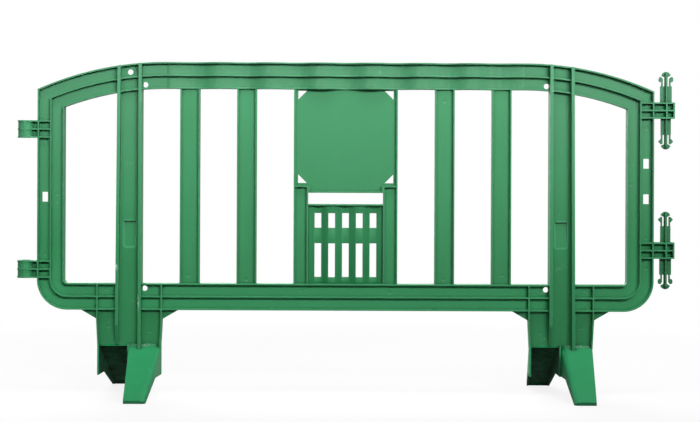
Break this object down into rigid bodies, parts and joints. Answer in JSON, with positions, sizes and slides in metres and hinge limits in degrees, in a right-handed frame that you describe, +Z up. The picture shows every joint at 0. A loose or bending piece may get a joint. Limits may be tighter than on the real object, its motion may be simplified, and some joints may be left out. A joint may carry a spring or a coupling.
{
  "type": "pedestrian barrier panel",
  "caption": "Green moulded plastic crowd-barrier panel with an arched ribbed frame, upright bars, blank sign panel, grille, splayed hollow feet, eyes and snap-in hinge pins.",
  "frame": {"origin": "on the floor, under the middle of the panel's length and depth", "axes": "+X along the panel towards the hinge pins, +Y through it towards the back, +Z up"},
  "size_m": [2, 0.48, 1.01],
  "materials": {
    "green_panel_plastic": "satin",
    "green_foot_plastic": "satin",
    "green_coupling_plastic": "satin"
  },
  "bodies": {
    "panel": {"top_rail": "green_panel_plastic", "left_rail_end": "green_panel_plastic", "right_rail_end": "green_panel_plastic", "left_shoulder": "green_panel_plastic", "right_shoulder": "green_panel_plastic", "left_stile": "green_panel_plastic", "right_stile": "green_panel_plastic", "left_lower_elbow": "green_panel_plastic", "right_lower_elbow": "green_panel_plastic", "bottom_rail": "green_panel_plastic", "left_post": "green_panel_plastic", "right_post": "green_panel_plastic", "left_leg_outer_cheek": "green_panel_plastic", "left_leg_inner_cheek": "green_panel_plastic", "right_leg_inner_cheek": "green_panel_plastic", "right_leg_outer_cheek": "green_panel_plastic", "left_front_foot": "green_foot_plastic", "left_rear_foot": "green_foot_plastic", "right_front_foot": "green_foot_plastic", "right_rear_foot": "green_foot_plastic", "outer_left_bar": "green_panel_plastic", "inner_left_bar": "green_panel_plastic", "inner_right_bar": "green_panel_plastic", "outer_right_bar": "green_panel_plastic", "sign_panel": "green_panel_plastic", "grille_left_stile": "green_panel_plastic", "grille_right_stile": "green_panel_plastic", "grille_panel": "green_panel_plastic", "upper_eye": "green_coupling_plastic", "lower_eye": "green_coupling_plastic", "upper_pin_bracket": "green_coupling_plastic", "lower_pin_bracket": "green_coupling_plastic", "upper_pin_top": "green_coupling_plastic", "upper_pin_bottom": "green_coupling_plastic", "lower_pin_top": "green_coupling_plastic", "lower_pin_bottom": "green_coupling_plastic"},
    "upper_pin_top_left_finger": {"upper_pin_top_left_finger": "green_coupling_plastic"},
    "upper_pin_top_right_finger": {"upper_pin_top_right_finger": "green_coupling_plastic"},
    "upper_pin_bottom_left_finger": {"upper_pin_bottom_left_finger": "green_coupling_plastic"},
    "upper_pin_bottom_right_finger": {"upper_pin_bottom_right_finger": "green_coupling_plastic"},
    "lower_pin_top_left_finger": {"lower_pin_top_left_finger": "green_coupling_plastic"},
    "lower_pin_top_right_finger": {"lower_pin_top_right_finger": "green_coupling_plastic"},
    "lower_pin_bottom_left_finger": {"lower_pin_bottom_left_finger": "green_coupling_plastic"},
    "lower_pin_bottom_right_finger": {"lower_pin_bottom_right_finger": "green_coupling_plastic"}
  },
  "joints": [
    {"name": "upper_pin_top_left_flex", "type": "hinge", "parent": "panel", "child": "upper_pin_top_left_finger", "pos_m": [0.9629, 0, 0.94275], "axis": [0, 1, 0], "range_deg": [0, 8.5], "stiffness_Nm_per_rad": 1.5},
    {"name": "upper_pin_top_right_flex", "type": "hinge", "parent": "panel", "child": "upper_pin_top_right_finger", "pos_m": [0.9871, 0, 0.94275], "axis": [0, -1, 0], "range_deg": [0, 8.5], "stiffness_Nm_per_rad": 1.5},
    {"name": "upper_pin_bottom_left_flex", "type": "hinge", "parent": "panel", "child": "upper_pin_bottom_left_finger", "pos_m": [0.9629, 0, 0.79425], "axis": [0, -1, 0], "range_deg": [0, 8.5], "stiffness_Nm_per_rad": 1.5},
    {"name": "upper_pin_bottom_right_flex", "type": "hinge", "parent": "panel", "child": "upper_pin_bottom_right_finger", "pos_m": [0.9871, 0, 0.79425], "axis": [0, 1, 0], "range_deg": [0, 8.5], "stiffness_Nm_per_rad": 1.5},
    {"name": "lower_pin_top_left_flex", "type": "hinge", "parent": "panel", "child": "lower_pin_top_left_finger", "pos_m": [0.9629, 0, 0.51675], "axis": [0, 1, 0], "range_deg": [0, 8.5], "stiffness_Nm_per_rad": 1.5},
    {"name": "lower_pin_top_right_flex", "type": "hinge", "parent": "panel", "child": "lower_pin_top_right_finger", "pos_m": [0.9871, 0, 0.51675], "axis": [0, -1, 0], "range_deg": [0, 8.5], "stiffness_Nm_per_rad": 1.5},
    {"name": "lower_pin_bottom_left_flex", "type": "hinge", "parent": "panel", "child": "lower_pin_bottom_left_finger", "pos_m": [0.9629, 0, 0.36825], "axis": [0, -1, 0], "range_deg": [0, 8.5], "stiffness_Nm_per_rad": 1.5},
    {"name": "lower_pin_bottom_right_flex", "type": "hinge", "parent": "panel", "child": "lower_pin_bottom_right_finger", "pos_m": [0.9871, 0, 0.36825], "axis": [0, 1, 0], "range_deg": [0, 8.5], "stiffness_Nm_per_rad": 1.5}
  ]
}
